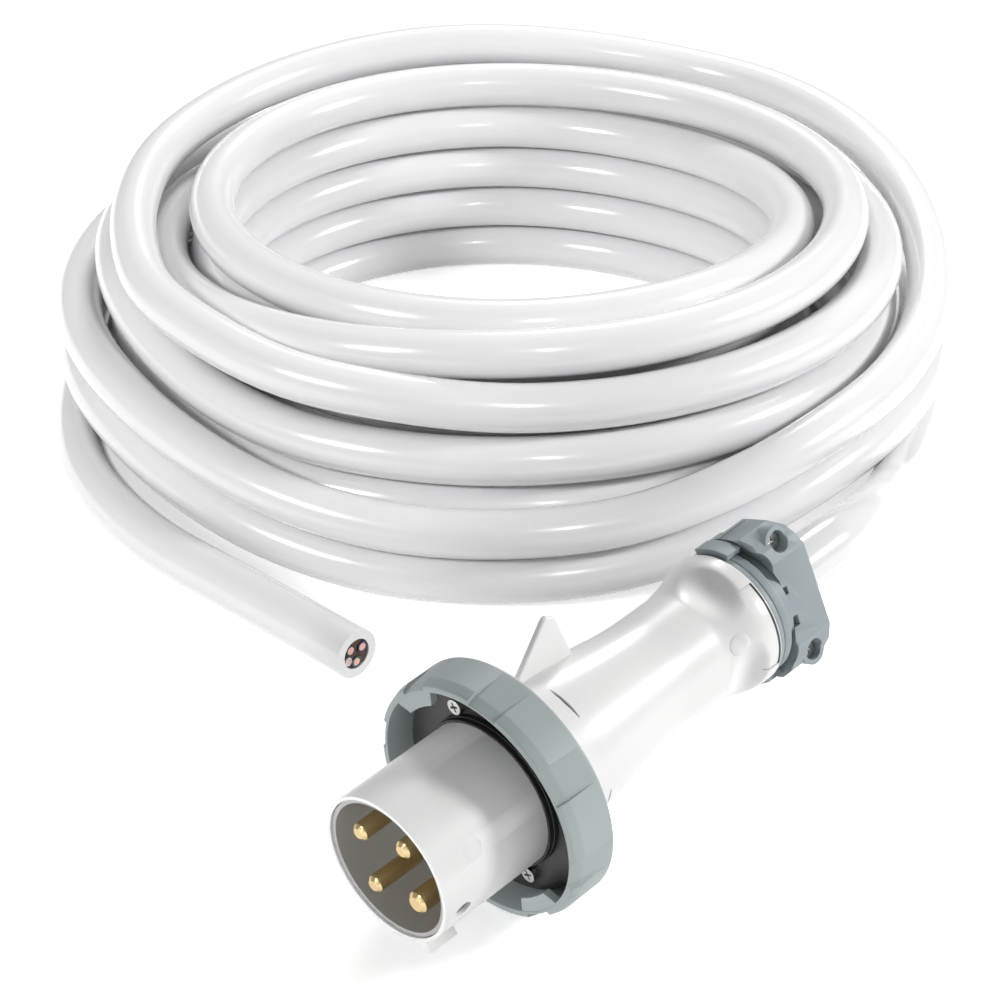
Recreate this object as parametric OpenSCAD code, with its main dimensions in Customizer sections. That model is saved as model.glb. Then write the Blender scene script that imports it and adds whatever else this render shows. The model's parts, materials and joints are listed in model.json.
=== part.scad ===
// Shore power cord: a locking four-pin plug on a heavy cable, the cable wound in a coil, with a cut end.
// Millimetres, +Z up. The plug's axis runs along +Y, its pins towards -Y, its cable end raised by tilt.
// Inside the plug, "a" is the distance back from the sleeve's front rim and "psi" the angle from +X to +Z.

/* [Cable] */
// Outside diameter of the cable jacket
cable_d = 25; // [20:0.5:28]
// Radius of an insulated line core
core_r = 3.1; // [2.6:0.1:3.4]
// Radius of a line core's copper
copper_r = 2.2; // [1.4:0.1:2.4]
// Radius of the insulated earth core
earth_core_r = 2.1; // [1.8:0.1:2.4]
// Radius of the earth core's copper
earth_copper_r = 1.5; // [1:0.1:1.7]
// Length of the stretch at the cut end where the cores are modelled
cut_len = 30; // [15:1:60]

/* [Coil] */
// Centreline radius of the coil's outer column of loops
coil_outer_r = 235; // [225:1:250]
// Gap left between loops that lie on each other
loop_gap = 0.75; // [0.5:0.05:2]

/* [Sleeve] */
// Outside radius of the pin sleeve
sleeve_r = 34.3; // [33:0.1:36]
// Wall of the pin sleeve
sleeve_wall = 1.6; // [1:0.1:3]
// Length of the sleeve in front of its root flange
sleeve_len = 66; // [60:0.5:80]
// Gap between the sleeve's root flange and the locking ring's wall
flange_gap = 3; // [1.5:0.5:5]
// Thickness of the sleeve's root flange
flange_t = 4; // [2.5:0.5:6]
// Width of the key rib on the sleeve
key_w = 6; // [3:0.5:9]
// Height of the key rib above the sleeve
key_h = 5.5; // [1:0.5:7]
// Length of the key rib
key_len = 15; // [8:1:30]

/* [Contacts] */
// Radius of the circle that the pins stand on
pin_circle_r = 18.5; // [17:0.5:20]
// Radius of a line pin
line_pin_r = 4; // [3:0.1:5]
// Radius of the earth pin
earth_pin_r = 5; // [3.5:0.1:6]
// Depth of the pin tips behind the sleeve's rim
pin_tip_a = 0.5; // [0:0.5:10]
// Chamfer on each pin tip
pin_chamfer = 1.5; // [0.4:0.1:2]
// Step from a pin out to the stem that holds it in the carrier
pin_stem = 0.8; // [0.3:0.1:1]
// Depth of the carrier's front rim behind the sleeve's rim
carrier_rim_a = 1; // [1:0.5:10]
// Wall of the contact carrier's cup
carrier_wall = 2; // [1.2:0.1:3]
// Depth of the floor of the cup behind the sleeve's rim
carrier_floor_a = 47; // [40:1:55]
// Thickness of the plate behind the carrier
retainer_t = 3; // [2:0.5:5]
// Length of a terminal barrel
barrel_len = 20; // [14:1:26]
// Wall of a terminal barrel around its bore
barrel_wall = 2.6; // [1.6:0.1:3]
// Radius of a terminal screw
terminal_screw_r = 2; // [1.5:0.1:2.5]

/* [Locking ring] */
// Outside radius of the locking ring
ring_r = 57; // [55:0.5:62]
// Wall of the locking ring
ring_wall = 4.5; // [3:0.1:5]
// Length of the locking ring
ring_len = 23; // [18:0.5:26]
// How much slimmer the locking ring is at its front edge
ring_draft = 1.4; // [0.5:0.1:2]
// Thickness of the ring's rear lip
lip_t = 4.7; // [3:0.1:6]
// Step from the flange down to the hub that the ring's lip turns on
hub_step = 5; // [3:0.5:7]
// Number of recessed grips around the ring
panel_count = 8; // [4:1:12]
// Width of each recessed grip in degrees
panel_deg = 16.5; // [8:0.5:25]
// Depth of each recessed grip at its front end
panel_depth = 1.6; // [0.3:0.1:2.5]
// How far each bayonet lug reaches in from the ring's wall
lug_reach = 6.5; // [3:0.5:9]
// Width of each bayonet lug in degrees
lug_deg = 30; // [15:1:45]
// Thickness of each bayonet lug
lug_t = 4; // [2:0.5:6]

/* [Body] */
// Step from the hub up to the shoulder behind the ring
shoulder_step = 3; // [1.5:0.5:6]
// Thickness of that shoulder
shoulder_t = 3.7; // [2:0.1:6]
// Radius of the body right behind the shoulder
front_r = 34; // [33:0.5:38]
// Radius of the body at its waist
waist_r = 27; // [26:0.2:31]
// Radius of the body at its rear end
tail_r = 32.4; // [30:0.2:36]
// Distance behind the sleeve's rim at which the waist begins
waist_a = 162; // [150:1:170]
// Length of the even waist
waist_len = 19; // [5:1:30]
// Distance of the body's rear face behind the sleeve's rim
body_end_a = 211; // [205:1:225]
// Wall of the body
body_wall = 3.2; // [2:0.1:4]
// Distance of each finger dimple's flat bottom from the plug's axis
dimple_r = 25.4; // [24.6:0.2:27]
// Height of the fin above the plug's axis
fin_r = 53; // [42:0.5:60]
// Length of the fin at its foot
fin_len = 39; // [30:1:50]
// Thickness of the fin
fin_t = 3.6; // [2:0.2:6]
// Depth of the bare recessed panel at the rear end
plate_depth = 0.6; // [0.2:0.1:1]

/* [Cord clamp] */
// Radius of the clamp's collar
collar_r = 31.2; // [29:0.2:34]
// Length of the clamp's collar
collar_len = 8.6; // [6:0.2:14]
// Length of the neck behind the collar, which the jaws lie against
neck_len = 7.8; // [4:0.2:9]
// Gap along the axis between the collar and the jaws
jaw_gap = 1.4; // [0.4:0.2:3]
// Length of the clamp's jaws along the cable
jaw_len = 27; // [24:0.5:36]
// Half width of the jaws along their split
jaw_half_w = 34.5; // [33:0.5:38]
// Height of the near jaw above its split
jaw_h = 23.2; // [21:0.2:28]
// Height of the far jaw above its split
far_jaw_h = 19; // [18:0.2:24]
// Half of the gap between the two jaws
jaw_split = 0.5; // [0.2:0.1:2]
// Distance of each clamp screw from the cable's centre
clamp_screw_off = 27.2; // [25:0.2:28]
// Radius of the clamp screws' shanks
clamp_screw_r = 2.2; // [1.5:0.1:2.6]
// Radius of the clamp screws' heads
clamp_head_r = 4.4; // [3.4:0.1:4.8]
// Radius of the bosses round the clamp screws on the near jaw
boss_r = 7.2; // [6:0.1:8]

/* [Hidden] */
$fn = 64;

// --- clearances ---
run_gap = 0.05;      // radial, ring on hub and shafts in bores
end_gap = 0.3;       // along the axis at each side of the ring's lip
seat_gap = 0.2;      // between the carrier and the sleeve
eps = 0.02;          // cutters run past a face by this

// --- derived sizes ---
cable_r = cable_d / 2;
core_off = core_r * sqrt(2) + 0.2;             // line core's centre from the cable's centre
earth_off = core_off + core_r - earth_core_r;  // the earth core reaches out as far
tilt = 7;
carrier_r = sleeve_r - sleeve_wall - seat_gap;
hub_a = sleeve_len + flange_t;                 // rear face of the sleeve's flange
lip_a = hub_a + end_gap;
shoulder_a = lip_a + lip_t + end_gap;
shell_a = shoulder_a + shoulder_t;
ring_end_a = lip_a + lip_t;
ring_a = ring_end_a - ring_len;
ring_full_a = ring_a + 5;                      // the ring is full width from here back
ring_bore_r = ring_r - ring_wall;
flange_r = ring_bore_r - flange_gap;
hub_r = flange_r - hub_step;
shoulder_r = hub_r + shoulder_step;
plug_psi = 55.5;                               // angle of the first line pin
barrel_a = hub_a + retainer_t;
barrel_end_a = barrel_a + barrel_len;
bore_depth = barrel_len - 6;
core_a = barrel_end_a + 0.5;                   // front end of the insulated cores
gland_len = 10;
washer_t = 1.7;
gland_r = tail_r - body_wall - 2;
gland_a = body_end_a - washer_t - gland_len;
tail_a = gland_a - 2;                          // where the jacket begins inside the plug
collar_end_a = body_end_a + collar_len;
jaw_a = collar_end_a + jaw_gap;
jaw_end_a = jaw_a + jaw_len;
exit_a = jaw_end_a + 2;                        // where the free cable begins
jaw_roll = 20;
rear_trim = 14.2;                              // how much narrower the jaws are at their rear face
// assembly screws in front of the ring's lip: they share the room between the sleeve and the hub
screw_room = hub_r - sleeve_r;
screw_circle_r = sleeve_r + 0.6 * screw_room;
screw_psi = 115;
screw_head_r = 0.37 * screw_room;
screw_r = screw_head_r / 2;
screw_head_t = 3;
gasket_w = 0.16 * screw_room;
plate_t = 2;
plate_a = sleeve_len - plate_t;

// height of the plug's axis at the sleeve's rim: the ring's widest edge stands on z = 0
axis_z = ring_r * cos(tilt) - ring_full_a * sin(tilt);
// place of the sleeve's rim along Y: the plug, up to the end of its cable tail, is centred on the origin
plug_y = -(exit_a * cos(tilt) + (cable_r - sleeve_r) * sin(tilt)) / 2;

// --- placing helpers ---
module in_plug() { translate([0, plug_y, axis_z]) rotate([tilt, 0, 0]) children(); }
module along(a) { translate([0, a, 0]) rotate([-90, 0, 0]) children(); }
module spin(psi) { rotate([0, -psi, 0]) children(); }
module at_pin(k) { spin(plug_psi + 90 * k) translate([pin_circle_r, 0, 0]) children(); }
module radial(psi, a, r0) { spin(psi) translate([r0, a, 0]) rotate([0, 90, 0]) children(); }
module disc(r, a1, a2) { along(a1) cylinder(r = r, h = a2 - a1); }
module pipe(r, bore, a1, a2) {
    difference() {
        disc(r, a1, a2);
        disc(bore, a1 - 1, a2 + 1);
    }
}
module sector(r1, r2, a1, a2, psi1, psi2) {
    along(a1) rotate([0, 0, -psi2]) rotate_extrude(angle = psi2 - psi1)
        translate([r1, 0]) square([r2 - r1, a2 - a1]);
}
// sizes of contact and core k: 0 to 2 are the lines, 3 is the earth
function pin_r(k) = k == 3 ? earth_pin_r : line_pin_r;
function cu_r(k) = k == 3 ? earth_copper_r : copper_r;
function wire_r(k) = k == 3 ? earth_core_r : core_r;
function wire_off(k) = k == 3 ? earth_off : core_off;

// --- shape of the body: smooth steps between named radii ---
function smooth(f) = f * f * (3 - 2 * f);
function mix(a, b, f) = a + (b - a) * smooth(min(max(f, 0), 1));
taper_a = shell_a + 12;                        // the body is even up to here, then narrows
flare_a = waist_a + waist_len;
bulge_a = body_end_a - 5;
function body_r(a) = a < flare_a
    ? mix(front_r, waist_r, (a - taper_a) / (waist_a - taper_a))
    : mix(waist_r, tail_r, (a - flare_a) / (bulge_a - flare_a));
front_steps = 7;
rear_steps = 6;
taper_stations = [for (i = [0 : front_steps]) taper_a + (waist_a - taper_a) * i / front_steps];
flare_stations = [for (i = [0 : rear_steps]) flare_a + (bulge_a - flare_a) * i / rear_steps];
body_stations = concat([shell_a], taper_stations, flare_stations, [body_end_a]);

// --- front: sleeve, carrier, pins ---
module sleeve_housing() color("WhiteSmoke") in_plug() {
    key_psi = -61;
    difference() {
        union() {
            disc(sleeve_r, 0, hub_a);
            disc(flange_r, sleeve_len, hub_a);
            spin(key_psi) translate([sleeve_r - 0.4, 0, -key_w / 2]) cube([key_h + 0.4, key_len, key_w]);
        }
        disc(sleeve_r - sleeve_wall, -1, hub_a + 1);
        for (s = [0, 180]) spin(screw_psi + s) translate([screw_circle_r, 0, 0])
            disc(screw_r + run_gap, sleeve_len - 1, hub_a + 1);
        // leaf-shaped window
        intersection() {
            radial(-19.5, 10.2, sleeve_r - 3) cylinder(r = 5, h = 6);
            radial(-13.5, 10.2, sleeve_r - 3) cylinder(r = 5, h = 6);
        }
        // shallow round mark
        radial(25, 20.5, sleeve_r - 0.35) cylinder(r = 5, h = 4);
    }
}

module contact_carrier() color("Gray") in_plug() difference() {
    disc(carrier_r, carrier_rim_a, hub_a);
    disc(carrier_r - carrier_wall, carrier_rim_a - 1, carrier_floor_a);
    for (k = [0 : 3]) at_pin(k) disc(pin_r(k) + pin_stem + run_gap, carrier_floor_a - 1, hub_a + 1);
}

module contact(k) {
    r = pin_r(k);
    bore = cu_r(k) + 0.5;
    barrel_r = max(r + pin_stem + 0.4, bore + barrel_wall);
    in_plug() at_pin(k) difference() {
        union() {
            along(pin_tip_a) rotate_extrude() polygon([[0, 0], [r - pin_chamfer, 0], [r, pin_chamfer],
                [r, carrier_floor_a - pin_tip_a + eps], [0, carrier_floor_a - pin_tip_a + eps]]);
            disc(r + pin_stem, carrier_floor_a, barrel_a + eps);
            disc(barrel_r, barrel_a, barrel_end_a);
        }
        disc(bore, barrel_end_a - bore_depth, barrel_end_a + 1);
        translate([bore - 0.5, barrel_end_a - bore_depth / 2, 0]) rotate([0, 90, 0])
            cylinder(r = terminal_screw_r + run_gap, h = barrel_r + 2);
    }
}
module line_pin_1() color("Goldenrod") contact(0);
module line_pin_2() color("Goldenrod") contact(1);
module line_pin_3() color("Goldenrod") contact(2);
module earth_pin() color("Gold") contact(3);

module pin_retainer() color("DimGray") in_plug() difference() {
    disc(carrier_r - 3, hub_a, barrel_a);
    for (k = [0 : 3]) at_pin(k) disc(pin_r(k) + pin_stem + run_gap, hub_a - 1, barrel_a + 1);
}

module terminal_screws() color("Silver") in_plug() for (k = [0 : 3]) at_pin(k) {
    len = barrel_wall + 2;
    translate([cu_r(k) + run_gap, barrel_end_a - bore_depth / 2, 0]) rotate([0, 90, 0]) difference() {
        cylinder(r = terminal_screw_r, h = len);
        translate([-terminal_screw_r, -0.4, len - 1]) cube([2 * terminal_screw_r, 0.8, 2]);
    }
}

module front_plate() color("DarkSlateGray") in_plug() difference() {
    disc(flange_r, plate_a, sleeve_len);
    disc(sleeve_r + run_gap, plate_a - 1, sleeve_len + 1);
    for (s = [0, 180]) spin(screw_psi + s) translate([screw_circle_r, 0, 0])
        disc(screw_r + run_gap, plate_a - 1, sleeve_len + 1);
}

module face_gasket() color("Black") in_plug() {
    rib_t = 2.4;
    along(0) rotate_extrude() for (i = [0 : 1])
        translate([sleeve_r + run_gap, plate_a - (i + 1) * rib_t]) square([gasket_w * (1 - i / 4), rib_t]);
}

module assembly_screws() color("Silver") in_plug() for (s = [0, 180])
    spin(screw_psi + s) translate([screw_circle_r, 0, 0]) difference() {
        union() {
            disc(screw_head_r, plate_a - screw_head_t, plate_a);
            disc(screw_r, plate_a - eps, shell_a - 1);
        }
        slot = 0.6 * screw_head_r;
        for (q = [0, 90]) translate([0, plate_a - screw_head_t, 0]) rotate([0, q, 0])
            translate([-slot, -1, -slot / 5]) cube([2 * slot, 2.6, slot / 2.5]);
    }

// --- locking ring: turns on the hub, held between the flange and the shoulder ---
module locking_ring() color("LightSteelBlue") in_plug() {
    lug_psi = 128;
    panel_psi = 79.75;
    bevel = 1.2;
    rim_r = ring_r - ring_draft;
    // a grip is deepest near the front, where it slopes off to the edge, and runs out towards the rear
    grip = [[ring_r + 0.01, ring_end_a - 2], [ring_r - panel_depth, ring_full_a],
        [rim_r - panel_depth - 0.6, ring_a - 1], [ring_r + 2, ring_a - 1], [ring_r + 2, ring_end_a - 2]];
    difference() {
        along(0) rotate_extrude() polygon([
            [ring_bore_r, ring_a], [rim_r - 0.4, ring_a], [rim_r, ring_a + 0.4], [ring_r, ring_full_a],
            [ring_r, ring_end_a - bevel], [ring_r - bevel, ring_end_a], [hub_r + run_gap, ring_end_a],
            [hub_r + run_gap, lip_a], [ring_bore_r, lip_a]]);
        for (i = [0 : panel_count - 1]) let (p = panel_psi + i * 360 / panel_count)
            along(0) rotate([0, 0, -p - panel_deg / 2]) rotate_extrude(angle = panel_deg) polygon(grip);
    }
    for (s = [0, 180])
        sector(ring_bore_r - lug_reach, ring_bore_r + 0.5, ring_a + 0.3, ring_a + 0.3 + lug_t,
            lug_psi + s - lug_deg / 2, lug_psi + s + lug_deg / 2);
}

// --- body ---
module body_shell() color("White") in_plug() difference() {
    union() {
        disc(hub_r, hub_a, shell_a);
        disc(shoulder_r, shoulder_a, shell_a);
        along(0) rotate_extrude() polygon(concat(
            [[0, shell_a - 1], [body_r(shell_a), shell_a - 1]],
            [for (a = body_stations) [body_r(a), a]],
            [[0, body_end_a]]));
        // fin
        fin_a = shell_a + 6;
        fin_end_a = fin_a + fin_len;
        spin(110) translate([0, 0, -fin_t / 2]) linear_extrude(fin_t) polygon([
            [front_r - body_wall, fin_a], [fin_r - 0.5, fin_end_a - 8], [fin_r, fin_end_a - 6.5],
            [fin_r - 2.5, fin_end_a - 2], [front_r - body_wall, fin_end_a]]);
    }
    // hollow inside, narrower through the hub
    disc(carrier_r - 2.5, hub_a - 1, shell_a);
    along(0) rotate_extrude() polygon(concat(
        [[0, shell_a - eps], [front_r - body_wall, shell_a - eps]],
        [for (a = taper_stations) [body_r(a) - body_wall, a]],
        [[waist_r - body_wall, gland_a], [0, gland_a]]));
    disc(gland_r + run_gap, gland_a - eps, body_end_a + 1);
    // threaded holes for the assembly screws
    for (s = [0, 180]) spin(screw_psi + s) translate([screw_circle_r, 0, 0])
        disc(screw_r + run_gap, hub_a - 1, shell_a - 0.8);
    // slits behind the ring
    slit_a = shell_a + 17;
    sector(front_r - 5, front_r + 2, slit_a, slit_a + 1.4, 54, 83);
    sector(front_r - 5, front_r + 2, slit_a + 1.5, slit_a + 2.7, -26, -10);
    // finger dimples in the flare, each a round hollow that runs across the body
    hollow_r = 13.4;
    for (psi = [77, 167, 257, 347]) spin(psi) translate([dimple_r + hollow_r, body_end_a - 20, -tail_r])
        cylinder(r = hollow_r, h = 2 * tail_r);
    // bare recessed panel at the rear end
    sector(tail_r - plate_depth, tail_r + 3, body_end_a - 10, body_end_a - 1, -17, 60);
}

// --- gland and clamp ---
module gland_bushing() color("DarkSlateGray") in_plug()
    pipe(gland_r, cable_r + run_gap, gland_a, gland_a + gland_len);

module thrust_washer() color("Silver") in_plug()
    pipe(gland_r - 0.1, cable_r + 0.4, gland_a + gland_len, body_end_a);

neck_r = collar_r - 6;
neck_end_a = collar_end_a + neck_len;
module clamp_collar() color("SlateGray") in_plug() {
    bevel = 0.8;
    groove_a = body_end_a + 3;
    along(0) rotate_extrude() polygon([[cable_r + 0.8, body_end_a], [collar_r - bevel, body_end_a],
        [collar_r, body_end_a + bevel], [collar_r, groove_a], [collar_r - 0.6, groove_a + 0.4],
        [collar_r, groove_a + 0.8], [collar_r, collar_end_a - bevel], [collar_r - bevel, collar_end_a],
        [neck_r, collar_end_a], [neck_r, neck_end_a], [cable_r + 0.8, neck_end_a]]);
}

// section of each jaw: x away from the split, y along it; the far jaw is the rounder one
function mirrored(half) = concat([for (p = half) [p[0], -p[1]]], [for (i = [len(half) - 1 : -1 : 0]) half[i]]);
near_section = mirrored([[jaw_split, jaw_half_w], [12.5, jaw_half_w], [jaw_h - 4.7, jaw_half_w - 3.5],
    [jaw_h - 1.2, jaw_half_w - 8], [jaw_h, jaw_half_w - 14.5]]);
far_section = mirrored([[jaw_split, jaw_half_w], [4, jaw_half_w - 0.8], [far_jaw_h - 8, jaw_half_w - 5],
    [far_jaw_h - 2.5, jaw_half_w - 12], [far_jaw_h, jaw_half_w - 21]]);
screw_a = jaw_a + 14.8;
head_seat = 13.6;
boss_h = jaw_h - 2.7;
nut_seat = 5;
nut_t = 3.4;
module jaw_blank(section) difference() {
    intersection() {
        along(jaw_a) linear_extrude(jaw_len) polygon(section);
        // the rear corners are cut off
        rotate([90, 0, 90]) linear_extrude(jaw_h + 1) polygon(mirrored([[jaw_a, jaw_half_w + 1],
            [jaw_end_a - 8, jaw_half_w + 1], [jaw_end_a - 3.5, jaw_half_w - 3.5], [jaw_end_a, jaw_half_w - rear_trim]]));
    }
    disc(cable_r + run_gap, jaw_a - 1, jaw_end_a + 1);
    // room in front for the collar, down to its neck
    mouth_r = collar_r + 4.5;
    along(jaw_a - 1) cylinder(r1 = mouth_r + 1.5, r2 = neck_r + 0.8, h = neck_end_a - jaw_a + 1);
}
module across(x0, l) { translate([x0, screw_a, l]) rotate([0, 90, 0]) children(); }
module clamp_jaw_near() color("LightSlateGray") in_plug() spin(jaw_roll) difference() {
    union() {
        jaw_blank(near_section);
        for (l = [-1, 1] * clamp_screw_off) across(jaw_split, l) cylinder(r = boss_r, h = boss_h - jaw_split);
    }
    for (l = [-1, 1] * clamp_screw_off) {
        across(-1, l) cylinder(r = clamp_screw_r + run_gap, h = jaw_h);
        across(head_seat, l) cylinder(r = clamp_head_r + 0.6, h = jaw_h);
    }
    // two notches and three round bites in the edge that faces the collar
    for (notch = [[4.2, 3.8, 3.2], [-11.7, 5, 3.8]])
        translate([jaw_h - 4, neck_end_a - 1, notch[0]]) cube([5, notch[2] + 1, notch[1]]);
    for (bite = [[21, 9, 5.5], [31, 6, 2], [-20, 7, 5]])
        translate([jaw_h / 2, jaw_a + bite[2] - bite[1], bite[0]]) rotate([0, 90, 0])
            cylinder(r = bite[1], h = jaw_h);
}
module clamp_jaw_far() color("LightSlateGray") in_plug() spin(jaw_roll + 180) difference() {
    union() {
        jaw_blank(far_section);
        // two ears that reach forward over the collar and round to the other side of the split
        for (side = [-1, 1]) {
            sector(collar_r + 0.2, jaw_half_w - 0.2, body_end_a + 1.5, jaw_a - 0.2, 95 * side - 17, 95 * side + 17);
            sector(collar_r + 0.6, jaw_half_w - 0.6, jaw_a - 3, jaw_a + 8, 83 * side - 4.2, 83 * side + 4.2);
        }
    }
    for (l = [-1, 1] * clamp_screw_off) {
        across(-1, l) cylinder(r = clamp_screw_r + run_gap, h = jaw_h);
        across(nut_seat, l) cylinder(r = clamp_head_r + 0.3, h = jaw_h, $fn = 6);
    }
}
module clamp_screws() color("Silver") in_plug() spin(jaw_roll) for (l = [-1, 1] * clamp_screw_off)
    difference() {
        union() {
            across(head_seat, l) cylinder(r = clamp_head_r, h = 3.4);
            across(-nut_seat - nut_t, l) cylinder(r = clamp_screw_r, h = nut_seat + nut_t + head_seat + eps);
        }
        for (q = [0, 90]) across(head_seat + 2, l) rotate([0, 0, q]) translate([-2.8, -0.5, 0]) cube([5.6, 1, 4]);
    }
module clamp_nuts() color("Silver") in_plug() spin(jaw_roll + 180) for (l = [-1, 1] * clamp_screw_off)
    across(nut_seat, l) difference() {
        cylinder(r = clamp_head_r, h = nut_t, $fn = 6);
        translate([0, 0, -1]) cylinder(r = clamp_screw_r + run_gap, h = nut_t + 2);
    }

// --- cable and cores inside the plug ---
module cable_tail() color("Snow") in_plug() disc(cable_r, tail_a, exit_a);

module core(k) {
    run = tail_a - core_a;
    drop = pin_circle_r - wire_off(k);
    r = wire_r(k);
    in_plug() spin(plug_psi + 90 * k) intersection() {
        translate([pin_circle_r, core_a, 0]) rotate([0, 0, atan2(drop, run)])
            along(-r) cylinder(r = r, h = norm([run, drop]) + 2 * r);
        disc(pin_circle_r + 2 * r, core_a, tail_a);
    }
}
module core_line_1() color("DimGray") core(0);
module core_line_2() color("Crimson") core(1);
module core_line_3() color("White") core(2);
module core_earth() color("ForestGreen") core(3);

module core_ends() color("Peru") in_plug() for (k = [0 : 3]) at_pin(k)
    disc(cu_r(k), barrel_end_a - bore_depth, core_a);

// --- swept cable ---
// one closed tube through the points, the first and last faces square to the given directions
function unit(v) = v / norm(v);
function sweep_dir(p, i, d0, d1) = i == 0 ? d0 : i == len(p) - 1 ? d1 : unit(p[i + 1] - p[i - 1]);
module tube(p, r, sides, d0, d1) {
    n = len(p);
    points = [for (i = [0 : n - 1])
        let (t = sweep_dir(p, i, unit(d0), unit(d1)), s = unit(cross(t, [0, 0, 1])), u = cross(s, t))
        for (k = [0 : sides - 1]) let (w = 360 * k / sides - 90) p[i] + r * (cos(w) * s + sin(w) * u)];
    walls = [for (i = [0 : n - 2], k = [0 : sides - 1])
        let (a = i * sides + k, b = i * sides + (k + 1) % sides)
        each [[a, b, b + sides], [a, b + sides, a + sides]]];
    caps = [for (k = [1 : sides - 2]) each [[0, k + 1, k], [(n - 1) * sides, (n - 1) * sides + k, (n - 1) * sides + k + 1]]];
    polyhedron(points, concat(walls, caps), convexity = 10);
}

// --- coil: outer column up, over to the middle one and down, up between, inner column down, out on the floor ---
// plan of the winding: [turn, cable widths from the outer column, height in cable widths]
step = 1 + loop_gap / cable_d;
function lev(n) = 0.5 + n * step;
col_mid = -1.1;
col_gap = -1.98;
col_in = -3.05;
outer_up = [for (n = [0 : 1]) each [[n, .05, lev(n)], [n + .22, .15, lev(n + 1)], [n + .56, -.05, lev(n + 1)],
    [n + .72, 0, lev(n)], [n + .76, 0, lev(n)], [n + .91, 0, lev(n + 1)]]];
over_top = [[2.13, .05, lev(3) + .7], [2.28, -1.8, 5.2], [2.5, -1.45, lev(4) + .1],
    [2.6, -.95, lev(3) + .75], [2.66, -.95, lev(3) + .4], [2.78, -1.35, lev(3)]];
middle_down = [for (n = [0 : 1]) each [[n + 3, col_mid, lev(3 - n)], [n + 3.25, -.9, lev(3 - n)],
    [n + 3.5, -.95 - .25 * n, lev(3 - n) + .08], [n + 3.68, -1.05, lev(2 - n) + .02], [n + 3.78, col_mid, lev(2 - n)]]];
up_between = [[5, -1.6, lev(1)], [5.1, col_gap, lev(1) + .1], [5.5, col_gap, 3.7], [5.78, -2, 4.5],
    [6, -1.9, 4.5], [6.25, -2.95, lev(4)]];
inner_down = [for (n = [0 : 3]) each [[n + 6.5, col_in, lev(4 - n)], [n + 6.8, col_in, lev(4 - n)],
    [n + 7.2, col_in, lev(3 - n)]]];
out_on_floor = [[10.5, col_in, lev(0)], [10.66, col_in, lev(0)], [11, -2.06, lev(0)], [11.3, -1.95, lev(0)],
    [11.75, -1.15, lev(0)], [12, -1.02, lev(0)], [12.5, -.05, lev(0)]];
plan = concat(outer_up, over_top, middle_down, up_between, inner_down, out_on_floor);
function plan_at(t, i = 0) = i >= len(plan) - 2 || t < plan[i + 1][0] ? i : plan_at(t, i + 1);
function wound(t, j) = let (i = plan_at(t))
    mix(plan[i][j], plan[i + 1][j], (t - plan[i][0]) / (plan[i + 1][0] - plan[i][0]));

coil_at = [-331, 282];
coil_turn = 44.5;
turns = 12.5;
loop_rings = 24;
function coil_point(t) = let (r = coil_outer_r + wound(t, 1) * cable_d, w = coil_turn + 360 * t)
    [coil_at[0] + r * cos(w), coil_at[1] + r * sin(w), wound(t, 2) * cable_d];
function coil_dir(t) = let (w = coil_turn + 360 * t) [-sin(w), cos(w), 0];
loops = [for (i = [0 : turns * loop_rings]) coil_point(i / loop_rings)];
coil_start = coil_point(0) - cable_d * coil_dir(0);
coil_end = coil_point(turns) + cable_d * coil_dir(turns);
module cord_coil() color("Gainsboro")
    tube(concat([coil_start], loops, [coil_end]), cable_r, 6, coil_dir(0), coil_dir(turns));

// least gap between the loops, over all pairs of points half a turn or more apart
loop_distance = min([for (i = [0 : len(loops) - 1]) for (j = [i + loop_rings / 2 : 1 : len(loops) - 1])
    norm(loops[i] - loops[j])]);
echo("least gap of the coil to itself, mm", loop_distance - cable_d);

// --- the two free stretches ---
exit_point = [0, plug_y + exit_a * cos(tilt), axis_z + exit_a * sin(tilt)];
exit_dir = [0, cos(tilt), sin(tilt)];
plug_route = [[-3, 175, 82], [-20, 220, 67], [-47, 263, 44], [-75, 308, 23], [-100, 352, 14],
    [-122, 391, cable_r]];
module plug_lead() color("Snow") tube(concat([exit_point, exit_point + cable_d * exit_dir], plug_route, [coil_start]),
    cable_r, 12, exit_dir, coil_dir(0));

cut_at = [-168, 17];
end_route = [[-445, 69, cable_r], [-403, 42, cable_r], [-357, 25, cable_r], [-308, 17, cable_r],
    [-250, 17, cable_r]];
cut_start = [cut_at[0] - cut_len, cut_at[1], cable_r];
module end_lead() color("Snow") tube(concat([coil_end], end_route, [cut_start]),
    cable_r, 12, coil_dir(turns), [1, 0, 0]);

// --- the cut end ---
jacket_bore_r = core_off + core_r + 0.15;
cut_psi = [28, 138, 272, 205];                 // place of each core round the cut face
module on_cut() { translate(cut_start) rotate([0, 90, 0]) children(); }
module at_core(k) { rotate([0, 0, cut_psi[k] + 90]) translate([wire_off(k), 0, 0]) children(); }
module end_jacket() color("Snow") on_cut() difference() {
    cylinder(r = cable_r, h = cut_len);
    translate([0, 0, -1]) cylinder(r = jacket_bore_r, h = cut_len + 2);
}
module insulation(k) on_cut() at_core(k) difference() {
    cylinder(r = wire_r(k), h = cut_len);
    translate([0, 0, -1]) cylinder(r = cu_r(k), h = cut_len + 2);
}
module end_insulation_1() color("DimGray") insulation(0);
module end_insulation_2() color("Crimson") insulation(1);
module end_insulation_3() color("White") insulation(2);
module end_insulation_4() color("ForestGreen") insulation(3);
module end_copper() color("Peru") on_cut() for (k = [0 : 3]) at_core(k) cylinder(r = cu_r(k), h = cut_len);
module end_filler() color("SaddleBrown") on_cut() difference() {
    cylinder(r = jacket_bore_r, h = cut_len - 0.8);
    for (k = [0 : 3]) at_core(k) translate([0, 0, -1]) cylinder(r = wire_r(k) + 0.02, h = cut_len + 2);
}

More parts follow.
